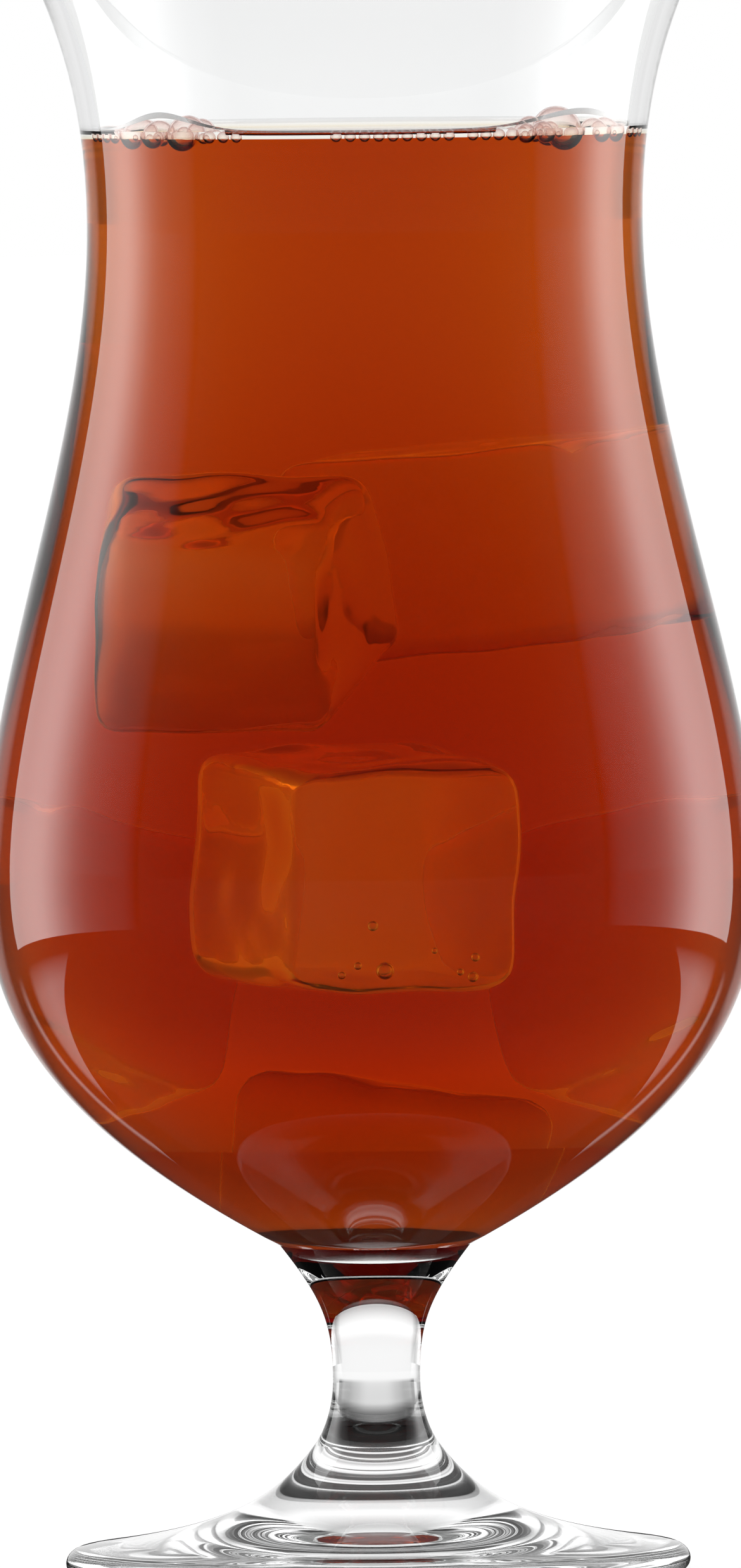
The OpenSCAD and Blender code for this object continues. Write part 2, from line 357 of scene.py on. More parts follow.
def lathe(name, outline):
    """Draw an outline from axis to axis, as radius and height, and spin it into a closed body."""
    deselect_all()
    bpy.ops.curve.primitive_bezier_curve_add(location=(0, 0, 0))
    piece = bpy.context.object
    piece.name = name
    piece.data.resolution_u = 1
    spline = piece.data.splines[0]
    spline.bezier_points.add(len(outline) - len(spline.bezier_points))
    for point, (r, z) in zip(spline.bezier_points, outline):
        point.handle_left_type = point.handle_right_type = "VECTOR"
        point.co = (r, 0, z)
    bpy.ops.object.convert(target="MESH")
    piece = bpy.context.object
    bpy.ops.object.mode_set(mode="EDIT")
    bpy.ops.mesh.select_all(action="SELECT")
    bpy.ops.mesh.remove_doubles(threshold=MERGE)
    bpy.ops.mesh.spin(steps=TURNS, angle=math.tau, center=(0, 0, 0), axis=(0, 0, 1))
    bpy.ops.mesh.select_all(action="SELECT")
    bpy.ops.mesh.remove_doubles(threshold=MERGE)
    bpy.ops.mesh.normals_make_consistent(inside=False)
    bpy.ops.object.mode_set(mode="OBJECT")
    bpy.ops.object.shade_smooth_by_angle(angle=math.radians(SMOOTH_BELOW))
    return piece


def paint(piece, *materials, choose=lambda centre, normal: 0):
    """Give a piece its materials, and each face the one whose number choose(centre, normal) returns."""
    piece.data.materials.clear()
    for material in materials:
        piece.data.materials.append(material)
    for face in piece.data.polygons:
        face.material_index = choose(face.center, face.normal)


def turn_inside_out():
    """Turn the faces of the active piece to look the other way."""
    bpy.ops.object.mode_set(mode="EDIT")
    bpy.ops.mesh.select_all(action="SELECT")
    bpy.ops.mesh.flip_normals()
    bpy.ops.object.mode_set(mode="OBJECT")


def apply_place(piece):
    """Put a piece's place, turn and size into its mesh."""
    only(piece)
    bpy.ops.object.transform_apply(location=True, rotation=True, scale=True)


def apply_modifier(piece, kind, **values):
    """Add a modifier, set it and apply it."""
    only(piece)
    modifier = piece.modifiers.new(kind.title(), kind)
    for key, value in values.items():
        setattr(modifier, key, value)
    bpy.ops.object.modifier_apply(modifier=modifier.name)


def join_all(pieces, name):
    """Make one piece of several."""
    deselect_all()
    for piece in pieces:
        piece.select_set(True)
    bpy.context.view_layer.objects.active = pieces[0]
    bpy.ops.object.join()
    bpy.context.object.name = name
    return bpy.context.object


def settle(piece, node):
    """Let a finished piece stand for its CAD node."""
    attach(piece, "root")
    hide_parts(node)


# Shader nodes


def node_material(name):
    """A new material with its nodes, their links and its Principled shader."""
    material = bpy.data.materials.new(name)
    material.use_nodes = True
    nodes = material.node_tree.nodes
    return material, nodes, material.node_tree.links, nodes["Principled BSDF"]


def feed(links, socket, value):
    """Give a socket a value or a colour, or link it to the socket that sends one."""
    if isinstance(value, (int, float, tuple)):
        socket.default_value = value
    else:
        links.new(value, socket)


def add_math(nodes, links, operation, *values):
    """The result of a Math node on values or sockets."""
    node = nodes.new("ShaderNodeMath")
    node.operation = operation
    for socket, value in zip(node.inputs, values):
        feed(links, socket, value)
    return node.outputs["Value"]


# The numbers of a Mix node's two inputs and its output, for each kind of value
MIX_SOCKETS = {"FLOAT": (2, 3, 0), "RGBA": (6, 7, 2)}


def add_mix(nodes, links, kind, share, first, second):
    """The blend of two values or colours, at a share of the way between them."""
    blend = nodes.new("ShaderNodeMix")
    blend.data_type = kind
    first_number, second_number, output_number = MIX_SOCKETS[kind]
    feed(links, blend.inputs[0], share)
    feed(links, blend.inputs[first_number], first)
    feed(links, blend.inputs[second_number], second)
    return blend.outputs[output_number]


def add_ramp(nodes, links, share, stops):
    """Brightness or colour along a share of the way, from its stops."""
    ramp = nodes.new("ShaderNodeValToRGB")
    elements = ramp.color_ramp.elements
    while len(elements) < len(stops):
        elements.new(0.5)
    for element, (at, value) in zip(elements, stops):
        element.position = at
        element.color = (*value, 1) if isinstance(value, tuple) else (value, value, value, 1)
    links.new(share, ramp.inputs["Fac"])
    return ramp.outputs["Color"]


def add_noise(nodes, links, scale):
    """Noise that is fixed to the piece, with this many waves per metre."""
    place = nodes.new("ShaderNodeTexCoord")
    noise = nodes.new("ShaderNodeTexNoise")
    noise.inputs["Scale"].default_value = scale
    links.new(place.outputs["Object"], noise.inputs["Vector"])
    return noise.outputs["Fac"]


def add_waves(nodes, links, shader, waves):
    """Give a shader faint waves, as how many per metre and how high in metres. Returns their noise."""
    noise = add_noise(nodes, links, waves[0])
    bump = nodes.new("ShaderNodeBump")
    bump.inputs["Distance"].default_value = waves[1]
    links.new(noise, bump.inputs["Height"])
    links.new(bump.outputs["Normal"], shader.inputs["Normal"])
    return noise


# Materials

# How strongly each surface bends light, against what lies on its other side. The glass at the bottom of the
# drink bends it less than real glass, so that the drink's colour fills the neck.
GLASS_IOR = 1.52
WET_GLASS_IOR = 1.134
WET_FLOOR_IOR = 1.02
DRINK_IOR = 1.34
AIR_IOR = 0.746

# Waves on each surface: how many per metre, and how high in metres
GLASS_WAVES = (60, 0.00001)
DRINK_WAVES = (220, 0.00002)
ICE_WAVES = (180, 0.00006)
AIR_WAVES = (900, 0.00001)
SKIN_WAVES = (500, 0.00002)

# The two tints that each surface wavers between
GLASS_TINTS = ((1, 1, 1), (0.985, 0.99, 0.99))
FUSED_TINTS = ((1, 1, 1), (0.99, 1, 0.99))
ICE_TINTS = ((1, 0.88, 0.76), (0.96, 0.8, 0.66))
SKIN_TINTS = ((1, 0.98, 0.97), (1, 0.93, 0.9))

# The tint of a bubble's skin where the eye looks along it, and how narrow that edge is
SKIN_EDGE_TINT = (0.5, 0.12, 0.08, 1)
SKIN_EDGE_BLEND = 0.3

# The attribute that is 1 on the drink's open surface
OPEN_SURFACE = "open_surface"


def make_clear(shader, ior):
    """Let light through a Principled shader, bent by ior."""
    shader.inputs["Transmission Weight"].default_value = 1
    shader.inputs["Roughness"].default_value = 0
    shader.inputs["IOR"].default_value = ior


def clear_material(name, ior, waves, tints):
    """A clear material that bends light by ior, with faint waves and a faint change of tint."""
    material, nodes, links, shader = node_material(name)
    make_clear(shader, ior)
    noise = add_waves(nodes, links, shader, waves)
    links.new(add_ramp(nodes, links, noise, list(enumerate(tints))), shader.inputs["Base Color"])
    return material


def glass_material(name, ior):
    """Clear colourless glass, which bends light by ior against what lies on its other side."""
    return clear_material(name, ior, GLASS_WAVES, GLASS_TINTS)


def fused_material():
    """The face where two parts of the glass are fused, which light passes unbent."""
    material, nodes, links, shader = node_material("fused_glass")
    nodes.remove(shader)
    clear = nodes.new("ShaderNodeBsdfTransparent")
    noise = add_noise(nodes, links, GLASS_WAVES[0])
    links.new(add_ramp(nodes, links, noise, list(enumerate(FUSED_TINTS))), clear.inputs["Color"])
    links.new(clear.outputs["BSDF"], nodes["Material Output"].inputs["Surface"])
    return material


def drink_material(d):
    """Clear coloured liquid, which bends light at its open surface. At its sides the wet glass does."""
    material, nodes, links, shader = node_material("clear_liquid")
    make_clear(shader, DRINK_IOR)
    add_waves(nodes, links, shader, DRINK_WAVES)
    clear = nodes.new("ShaderNodeBsdfTransparent")
    painted = nodes.new("ShaderNodeAttribute")
    painted.attribute_name = OPEN_SURFACE
    choice = nodes.new("ShaderNodeMixShader")
    links.new(painted.outputs["Fac"], choice.inputs["Fac"])
    links.new(clear.outputs["BSDF"], choice.inputs[1])
    links.new(shader.outputs["BSDF"], choice.inputs[2])
    links.new(choice.outputs["Shader"], nodes["Material Output"].inputs["Surface"])
    add_absorption(material, d, 1)
    return material


def add_absorption(material, d, share):
    """Let a material take a share of the light that the drink takes."""
    nodes = material.node_tree.nodes
    absorb = nodes.new("ShaderNodeVolumeAbsorption")
    absorb.inputs["Color"].default_value = (*d.passed, 1)
    absorb.inputs["Density"].default_value = d.depth * share
    material.node_tree.links.new(absorb.outputs["Volume"], nodes["Material Output"].inputs["Volume"])


def ice_material(name, d, cube):
    """Slightly milky ice in the drink, tinted by a share of the drink's colour. The share differs by cube, so
    the tint is also painted shade on the cubes behind the front one.
    """
    material = clear_material(name, cube.ior, ICE_WAVES, ICE_TINTS)
    shader = material.node_tree.nodes["Principled BSDF"]
    shader.inputs["Transmission Weight"].default_value = 1 - d.ice_milk
    # Painted shade: this share darkens the cubes behind the front one and leaves the front one bright
    add_absorption(material, d, cube.tint_share)
    return material


def air_material():
    """An air bubble inside the drink."""
    material, nodes, links, shader = node_material("air_bubble")
    nodes.remove(shader)
    air = nodes.new("ShaderNodeBsdfGlass")
    air.inputs["IOR"].default_value = AIR_IOR
    air.inputs["Roughness"].default_value = 0
    add_waves(nodes, links, air, AIR_WAVES)
    links.new(air.outputs["BSDF"], nodes["Material Output"].inputs["Surface"])
    return material


def film_material():
    """The liquid skin of a surface bubble, which shows the drink's colour at its edge."""
    material = clear_material("bubble_skin", DRINK_IOR, SKIN_WAVES, SKIN_TINTS)
    nodes, links = material.node_tree.nodes, material.node_tree.links
    shader = nodes["Principled BSDF"]
    face_on = shader.inputs["Base Color"].links[0].from_socket
    grazing = nodes.new("ShaderNodeLayerWeight")
    grazing.inputs["Blend"].default_value = SKIN_EDGE_BLEND
    tint = add_mix(nodes, links, "RGBA", grazing.outputs["Facing"], face_on, SKIN_EDGE_TINT)
    links.new(tint, shader.inputs["Base Color"])
    return material


# Glass


def is_inner(centre, normal):
    """True where a face of a lathed body looks at the axis."""
    return centre.x * normal.x + centre.y * normal.y < 0


def is_level(normal):
    """True where a face lies flat."""
    return abs(normal.z) > LEVEL_SHARE


def glass_finishes():
    """The materials of clear glass and of its fused faces, as the bowl has made them."""
    return bpy.data.materials["blown_glass"], bpy.data.materials["fused_glass"]


class HG_OT_bowl(bpy.types.Operator):
    """Spin the bowl with its lip and inner face"""

    bl_idname = "hurricane.bowl"
    bl_label = "Bowl"

    def execute(self, context):
        s, d = context.scene.glass_sizes, context.scene.drink_settings
        middle = Vector((s.lip_d / 2 - s.lip_t / 2, s.height - s.lip_t / 2))
        turns = [math.pi * i / ROUND_STEPS for i in range(ROUND_STEPS + 1)]
        lip = [middle + Vector((math.cos(turn), math.sin(turn))) * s.lip_t / 2 for turn in turns]
        outer, inner = bowl_outer(s), bowl_inner(s, 0)
        wet_h = d.level + d.climb
        piece = lathe("bowl_glass", joined([Vector((0, s.neck_h))], outer[::-1], lip, inner))
        dry, wet, fused, glowing = range(4)

        def finish_of(centre, normal):
            level = is_level(normal)
            if level and centre.z < s.neck_h + MERGE:
                return fused
            floor = level and centre.z < s.belly_h
            if centre.z > wet_h or not (is_inner(centre, normal) or floor):
                return dry
            return wet if centre.z > s.glow_h else glowing

        finishes = [glass_material("blown_glass", GLASS_IOR), glass_material("wet_glass", WET_GLASS_IOR)]
        finishes += [fused_material(), glass_material("wet_floor", WET_FLOOR_IOR)]
        paint(piece, *finishes, choose=finish_of)
        settle(piece, "bowl")
        return {"FINISHED"}


class HG_OT_stem(bpy.types.Operator):
    """Spin the stem between its two fused joints"""

    bl_idname = "hurricane.stem"
    bl_label = "Stem"

    def execute(self, context):
        s = context.scene.glass_sizes
        outline = joined([Vector((0, s.neck_h))], stem_outline(s), [Vector((0, s.foot_joint_h))])
        piece = lathe("stem_glass", outline)
        paint(piece, *glass_finishes(), choose=lambda centre, normal: int(is_level(normal)))
        settle(piece, "stem")
        return {"FINISHED"}


class HG_OT_foot(bpy.types.Operator):
    """Spin the foot with its rounded edge, standing ring and hollow"""

    bl_idname = "hurricane.foot"
    bl_label = "Foot"

    def execute(self, context):
        s = context.scene.glass_sizes
        piece = lathe("foot_glass", joined([Vector((0, s.foot_joint_h))], foot_outline(s)))
        top_h = s.foot_joint_h - MERGE

        def finish_of(centre, normal):
            return int(is_level(normal) and centre.z > top_h)

        paint(piece, *glass_finishes(), choose=finish_of)
        settle(piece, "foot")
        return {"FINISHED"}


# Ice

# A cube's tilt about X, tilt about Y and turn about Z in degrees, how much of its size it has kept, how
# strongly it bends light against the drink, and how much of the drink's colour it shows, which is also
# painted shade: a low share leaves the front cube bright, high ones darken the cubes behind it
Cube = namedtuple("Cube", "turns size_share ior tint_share")
ICE = {
    "ice_cube_front": Cube((4, 0, 25), 1, 0.88, 0.12),
    "ice_cube_bottom": Cube((10, 0, 45), 0.82, 0.965, 0.92),
    "ice_cube_left": Cube((0, 18, 15), 0.86, 0.965, 0.92),
    "ice_cube_right": Cube((0, -16, -22), 0.86, 0.965, 0.92),
    "ice_cube_upper_left": Cube((22, 0, -20), 0.98, 0.9, 0.55),
    "ice_cube_upper_back": Cube((0, -6, -12), 1, 0.95, 0.75),
}

# Steps round a cube's edges, the grid that it is remeshed on in metres, and how often that is smoothed
EDGE_STEPS = 5
ICE_GRID = 0.0008
SMOOTH_PASSES = 4

# Width of the dents in metres, and the value of their pattern that dents nothing
DENT_W = 0.012
DENT_ZERO = 0.86


def piece_name(node):
    """The name of the piece that stands for a cube's node."""
    return node.replace("_cube", "")


def ice_matrix(node):
    """Where a cube lies and how it is turned."""
    low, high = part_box(node)
    x, y, z = (math.radians(a) for a in ICE[node].turns)
    turn = Matrix.Rotation(z, 4, "Z") @ Matrix.Rotation(y, 4, "Y") @ Matrix.Rotation(x, 4, "X")
    return Matrix.Translation((low + high) / 2) @ turn


def melted_cube(node, d, dents):
    """One cube with rounded edges and the shallow dents of melting."""
    w, h = d.ice_w * ICE[node].size_share, d.ice_h * ICE[node].size_share
    deselect_all()
    bpy.ops.mesh.primitive_cube_add(size=1, location=(0, 0, 0))
    piece = bpy.context.object
    piece.name = piece_name(node)
    piece.scale = (w, w, h)
    apply_place(piece)
    apply_modifier(piece, "BEVEL", width=d.ice_edge, segments=EDGE_STEPS, limit_method="NONE")
    apply_modifier(piece, "REMESH", mode="VOXEL", voxel_size=ICE_GRID)
    apply_modifier(piece, "SMOOTH", factor=0.5, iterations=SMOOTH_PASSES)
    piece.matrix_world = ice_matrix(node)
    apply_place(piece)
    depth = {"strength": d.ice_dent, "mid_level": DENT_ZERO}
    apply_modifier(piece, "DISPLACE", texture=dents, texture_coords="LOCAL", **depth)
    bpy.ops.object.shade_smooth()
    return piece


class HG_OT_ice(bpy.types.Operator):
    """Shape the ice cubes"""

    bl_idname = "hurricane.ice"
    bl_label = "Ice cubes"

    def execute(self, context):
        d = context.scene.drink_settings
        dents = bpy.data.textures.new("ice_dents", "CLOUDS")
        dents.noise_scale = DENT_W
        dents.noise_depth = 1
        for node, cube in ICE.items():
            piece = melted_cube(node, d, dents)
            paint(piece, ice_material("melting_" + node, d, cube))
            settle(piece, node)
        return {"FINISHED"}


# Drink

# Gap that the drink leaves round each cube
ICE_GAP = 0.00012

# The drink's edge curves from the wall down to its level shore. The curve's handles are shares of that way:
# across and up for the first one, across for the second.
CLIMB_SHARES = (0.12, 0.75)
SHORE_SHARE = 0.5

# Steps of the level surface from its shore inward, over the width of this many large bubbles
FLAT_STEPS = 24
FLAT_BUBBLES = 2

# The drink's edge swells round the two heaps of froth: angle from the front and width in degrees
HEAPS = [(-47, 12), (51, 16)]
SWELL_POWER = 1.5

# A face of the drink can be open only where this much of its normal points up
OPEN_NORMAL = 0.05
# Froth closes the drink's edge up to a share of its climb, a high one where the heaps are over HEAP_SHARE
HEAP_SHARE = 0.15
HEAP_CLOSED_SHARE = 0.85
ROW_CLOSED_SHARE = 0.4


def hollow_round(piece, gap):
    """A copy of a piece, grown by a gap and turned inside out, which stands for no node."""
    only(piece)
    bpy.ops.object.duplicate()
    hollow = bpy.context.object
    hollow.parent = None
    for key in list(hollow.keys()):
        del hollow[key]
    bpy.ops.object.mode_set(mode="EDIT")
    bpy.ops.mesh.select_all(action="SELECT")
    bpy.ops.transform.shrink_fatten(value=gap)
    bpy.ops.object.mode_set(mode="OBJECT")
    turn_inside_out()
    return hollow


def heap_at(place):
    """How high the heaps of froth stand at a place, from 0 to 1."""
    turn = math.degrees(math.atan2(place.x, -place.y))
    return sum(math.exp(-(((turn - at) / wide) ** 2)) for at, wide in HEAPS)


def is_open(centre, normal, d, bubbles):
    """True where a face of the drink's surface meets open air, and no froth covers it."""
    if normal.z < OPEN_NORMAL or centre.z < d.level - MERGE * 10:
        return False
    closed_share = HEAP_CLOSED_SHARE if heap_at(centre) > HEAP_SHARE else ROW_CLOSED_SHARE
    if MERGE < (centre.z - d.level) / d.climb < closed_share:
        return False
    return not any((centre - place).length < size / 2 for place, size in bubbles)


def swell_edge(piece, d, wall):
    """Raise the drink's edge round the heaps of froth, along the wall."""
    for vertex in piece.data.vertices:
        share = (vertex.co.z - d.level) / d.climb
        if share > MERGE:
            rise = min(share, 1) ** SWELL_POWER * heap_at(vertex.co) * d.heap_h
            r = math.hypot(vertex.co.x, vertex.co.y)
            out = (radius_at(wall, vertex.co.z + rise) - radius_at(wall, vertex.co.z)) * share
            vertex.co.x *= 1 + out / r
            vertex.co.y *= 1 + out / r
            vertex.co.z += rise


class HG_OT_drink(bpy.types.Operator):
    """Spin the drink inside the bowl and leave the room of the ice out of it"""

    bl_idname = "hurricane.drink"
    bl_label = "Drink"

    def execute(self, context):
        s, d = context.scene.glass_sizes, context.scene.drink_settings
        wall = bowl_inner(s, d.gap)
        top_h = d.level + d.climb
        edge = Vector((radius_at(wall, top_h), top_h))
        shore = Vector((edge.x - d.climb_w, d.level))
        edge_handle = between(edge, shore, CLIMB_SHARES)
        shore_handle = Vector((mix(edge.x, shore.x, SHORE_SHARE), shore.y))
        climb = along([edge, edge_handle, shore_handle, shore], ROUND_STEPS)
        side = [p for p in wall if p.y < top_h - MERGE]
        flat_w = d.froth_large * FLAT_BUBBLES
        level = [shore - Vector((flat_w * i / FLAT_STEPS, 0)) for i in range(FLAT_STEPS + 1)]
        piece = lathe("drink_body", joined(side[::-1], climb, level, [Vector((0, d.level))]))
        bubbles = froth_places(s, d)
        bends = [float(is_open(face.center, face.normal, d, bubbles)) for face in piece.data.polygons]
        piece.data.attributes.new(OPEN_SURFACE, "FLOAT", "FACE").data.foreach_set("value", bends)
        swell_edge(piece, d, wall)
        hollows = [hollow_round(bpy.data.objects[piece_name(node)], ICE_GAP) for node in ICE]
        piece = join_all([piece, *hollows], "drink_body")
        paint(piece, drink_material(d))
        settle(piece, "drink")
        return {"FINISHED"}


# Bubbles

# Bubbles on the front cube's wide face: across, up and diameter, as shares of the face and of the largest
CLINGING = [
    (-0.19, -0.19, 0.6), (-0.14, -0.38, 1), (-0.25, -0.36, 0.45), (0.25, -0.33, 0.5),
    (0.24, -0.41, 0.6), (0.19, -0.39, 0.4), (-0.32, -0.4, 0.45), (0.08, -0.3, 0.35),
]

# How much a clinging bubble is flattened
CLINGING_FLAT = 0.94

# Rows of froth: first and last angle from the front in degrees, the row that it is, from the wall inward, and
# how much its bubbles swell to the row's middle
FROTH_ROWS = [((-76, -27), 0, 1), ((-64, -42), 1, 1), ((24, 84), 0, 1), ((44, 68), 1, 1), ((-6, 20), 0, 0)]
FROTH_SWELL_POWER = 3
# Every second bubble of a row swells by this share
FROTH_SMALL_SHARE = 0.5
# A corner bubble's share of the room between two bubbles and the wall, and the least that is laid
CORNER_SHARE = 0.45
CORNER_LEAST = 0.0004

# Bubbles over this diameter are cut more finely
FINE_FROM = 0.0018


def ball(place, diameter, flat=1.0):
    """A round bubble, flattened to a share of its height."""
    deselect_all()
    steps = 4 if diameter > FINE_FROM else 3
    bpy.ops.mesh.primitive_ico_sphere_add(subdivisions=steps, radius=diameter / 2, location=place)
    piece = bpy.context.object
    piece.scale.z = flat
    apply_place(piece)
    bpy.ops.object.shade_smooth()
    return piece


def froth_diameter(d, arc, turn, index, swell):
    """Diameter of a row's bubble at an angle: every second one is small, and all swell to its middle."""
    t = min(1, (turn - arc[0]) / (arc[1] - arc[0]))
    share = math.sin(math.pi * t) ** FROTH_SWELL_POWER * (FROTH_SMALL_SHARE if index % 2 else 1)
    return mix(d.froth_small, d.froth_large, share * swell)


def froth_row(d, arc, row_r, index, swell):
    """A row's bubbles as angle, distance from the middle and diameter."""
    turn, bubbles = arc[0], []
    while turn <= arc[1]:
        size = froth_diameter(d, arc, turn, index, swell)
        r = row_r - size / 2 - d.froth_gap
        bubbles.append((turn, r, size))
        index += 1
        guess = froth_diameter(d, arc, turn + math.degrees(size / r), index, swell)
        turn += math.degrees(((size + max(size, guess)) / 2 + d.froth_gap * 2) / r)
    return bubbles


def corner_bubbles(d, in_row, wall_r):
    """Bubbles in the corners between a row's bubbles and the wall, as angle, distance and diameter."""
    corners = []
    for (turn, _, size), (after, _, other) in zip(in_row, in_row[1:]):
        small = 2 / (size**-0.5 + other**-0.5) ** 2 * CORNER_SHARE
        if small > CORNER_LEAST:
            share = size / (size + other)
            corners.append((mix(turn, after, share), wall_r - small / 2 - d.froth_gap, small))
    return corners


def froth_places(s, d):
    """Place and diameter of each froth bubble, those in the corners too."""
    wall_r = radius_at(bowl_inner(s, d.gap * 2), d.level)
    bubbles = []
    for arc, row, swell in FROTH_ROWS:
        in_row = froth_row(d, arc, wall_r - row * (d.froth_large + d.froth_gap * 2), row, swell)
        if row == 0:
            in_row += corner_bubbles(d, in_row, wall_r)
        for turn, r, size in in_row:
            a = math.radians(turn)
            place = Vector((r * math.sin(a), -r * math.cos(a), d.level + size * d.froth_lift))
            bubbles.append((place, size))
    return bubbles


class HG_OT_surface_bubbles(bpy.types.Operator):
    """Lay the froth bubbles along the edge of the surface"""

    bl_idname = "hurricane.surface_bubbles"
    bl_label = "Surface bubbles"

    def execute(self, context):
        s, d = context.scene.glass_sizes, context.scene.drink_settings
        skin, fused = film_material(), bpy.data.materials["fused_glass"]
        skins = []
        for place, size in froth_places(s, d):
            outside = ball(place, size)
            paint(outside, skin, fused, choose=lambda centre, normal: int(centre.z < d.level))
            inside = ball(place, size * d.froth_air)
            paint(inside, skin, fused)
            turn_inside_out()
            skins += [outside, inside]
        piece = join_all(skins, "froth_bubbles")
        settle(piece, "surface_bubbles")
        return {"FINISHED"}


class HG_OT_clinging_bubbles(bpy.types.Operator):
    """Lay air bubbles on the front cube"""

    bl_idname = "hurricane.clinging_bubbles"
    bl_label = "Clinging bubbles"

    def execute(self, context):
        d = context.scene.drink_settings
        place = ice_matrix("ice_cube_front")
        bubbles = []
        for across, up, share in CLINGING:
            r = d.cling_d * share / 2
            centre = place @ Vector((across * d.ice_w, -d.ice_w / 2 - r - d.cling_gap, up * d.ice_h))
            bubbles.append(ball(centre, r * 2, CLINGING_FLAT))
        piece = join_all(bubbles, "ice_air_bubbles")
        paint(piece, air_material())
        settle(piece, "clinging_bubbles")
        return {"FINISHED"}


# Studio

# What a ray through the glass meets, from straight down to straight up: share of the way and brightness
THROUGH_BY_HEIGHT = [
    (0.0, 0.2), (0.4, 0.7), (0.47, 1.0), (0.57, 1.0), (0.63, 1.25), (0.78, 0.65), (0.9, 0.95), (1.0, 0.8),
]
# The same round the glass, from the front over both sides to the back
THROUGH_BY_TURN = [
    (0.0, 0.4), (0.25, 0.4), (0.4, 1.0), (0.5, 1.9), (0.66, 1.9), (0.77, 1.0), (0.82, 0.6), (0.866, 0.8),
    (0.89, 1.0),
]
# What the glass mirrors, in the same way
MIRRORED_BY_TURN = [(0.0, 0.03), (0.905, 0.04), (0.925, 0.35), (0.96, 0.42), (0.99, 0.75), (1.0, 1.0)]
MIRRORED_BY_HEIGHT = [(0.57, 1.0), (0.7, 0.2)]

# The table's radius and its gap to the foot in metres, and how many sides it has
TABLE_R = 6
TABLE_DROP = 0.0002
TABLE_SIDES = 96
# How the eye sees the table: a grey that takes shadows, and light of its own
TABLE_GREY = 0.2
TABLE_GLOW = 0.84
# The table as seen through the glass, by distance from the axis in metres: a painted shadow, nearly black
# round the foot and fading outward
TABLE_SHADOW_BY_DISTANCE = [(0.0, 0.02), (0.03, 0.03), (0.045, 0.3), (0.065, 0.9), (0.3, 1.0)]
# Where the near table gives way to the far one, by the same distance
TABLE_FAR = [(0.22, 0.0), (0.32, 1.0)]
# The near and the far table as seen through the glass, round it from front to back: painted light and shade,
# brighter or darker by direction
TABLE_BY_TURN = [
    (0.0, 0.7), (0.83, 0.8), (0.84, 0.2), (0.87, 0.2), (0.9, 0.5), (0.945, 0.52), (0.98, 0.7), (0.995, 0.85),
]
TABLE_FAR_BY_TURN = [(0.42, 1.0), (0.5, 0.55), (0.66, 0.6), (0.8, 1.0)]
# Before this line, as Y in metres, the glass mirrors the table nearly black, at TABLE_DARK, as a painted
# reflection
TABLE_LINE = 0.055
TABLE_DARK = 0.02
# Behind it, it mirrors the near table in this way, as a painted reflection with bright and dark bands, and
# the far one as it does the room
TABLE_PAINTED_REFLECTION = [
    (0.0, 1.35), (0.7, 1.35), (0.78, 0.7), (0.8, 0.02), (0.84, 0.02), (0.855, 0.8), (0.875, 0.03),
    (1.0, 0.03),
]

# Steps of a softbox round its curve, and how far it is lifted in metres
SOFTBOX_STEPS = 48
SOFTBOX_LIFT = 0.001
# Brightness of a softbox round its curve, from the back to the front
SOFTBOX_BY_TURN = [
    (0.172, 0.55), (0.206, 0.61), (0.242, 0.76), (0.281, 0.92), (0.321, 1.0), (0.362, 0.86), (0.405, 0.61),
    (0.448, 0.37), (0.491, 0.22), (0.535, 0.15), (0.578, 0.1), (0.621, 0.07), (0.66, 0.0),
]

# Height of the camera's sensor in millimetres, and how far it sees in metres
SENSOR_H = 36
SIGHT = 50

# How often a ray may bounce, by the renderer's name for the kind
BOUNCES = {"max_bounces": 40, "transmission_bounces": 40, "glossy_bounces": 16, "transparent_max_bounces": 64}


def add_directions(nodes, links, output):
    """Shares of the way from down to up, and from front to back, of a place as seen from the glass."""
    place = nodes.new("ShaderNodeTexCoord")
    flat = nodes.new("ShaderNodeVectorMath")
    flat.operation = "MULTIPLY"
    flat.inputs[1].default_value = (1, 1, 0)
    links.new(place.outputs[output], flat.inputs[0])
    shares = []
    for source, axis in ((place.outputs[output], "Z"), (flat.outputs["Vector"], "Y")):
        unit = nodes.new("ShaderNodeVectorMath")
        unit.operation = "NORMALIZE"
        links.new(source, unit.inputs[0])
        parts = nodes.new("ShaderNodeSeparateXYZ")
        links.new(unit.outputs["Vector"], parts.inputs["Vector"])
        shares.append(add_math(nodes, links, "MULTIPLY_ADD", parts.outputs[axis], 0.5, 0.5))
    return shares


def light_world(scene):
    """A white room for the eye. What the glass shows and mirrors of it has dark sides, to draw the edges."""
    world = bpy.data.worlds.new("studio")
    scene.world = world
    world.use_nodes = True
    nodes, links = world.node_tree.nodes, world.node_tree.links
    path = nodes.new("ShaderNodeLightPath")
    height, turn = add_directions(nodes, links, "Generated")
    through_height = add_ramp(nodes, links, height, THROUGH_BY_HEIGHT)
    through_turn = add_ramp(nodes, links, turn, THROUGH_BY_TURN)
    through = add_math(nodes, links, "MULTIPLY", through_height, through_turn)
    mirrored_height = add_ramp(nodes, links, height, MIRRORED_BY_HEIGHT)
    mirrored_turn = add_ramp(nodes, links, turn, MIRRORED_BY_TURN)
    mirrored = add_math(nodes, links, "MULTIPLY", mirrored_height, mirrored_turn)
    rest = add_mix(nodes, links, "FLOAT", path.outputs["Is Glossy Ray"], 1.0, mirrored)
    seen = add_mix(nodes, links, "FLOAT", path.outputs["Is Transmission Ray"], rest, through)
    strength = add_mix(nodes, links, "FLOAT", path.outputs["Is Camera Ray"], seen, 1.0)
    background = nodes["Background"]
    background.inputs["Color"].default_value = (1, 1, 1, 1)
    links.new(strength, background.inputs["Strength"])


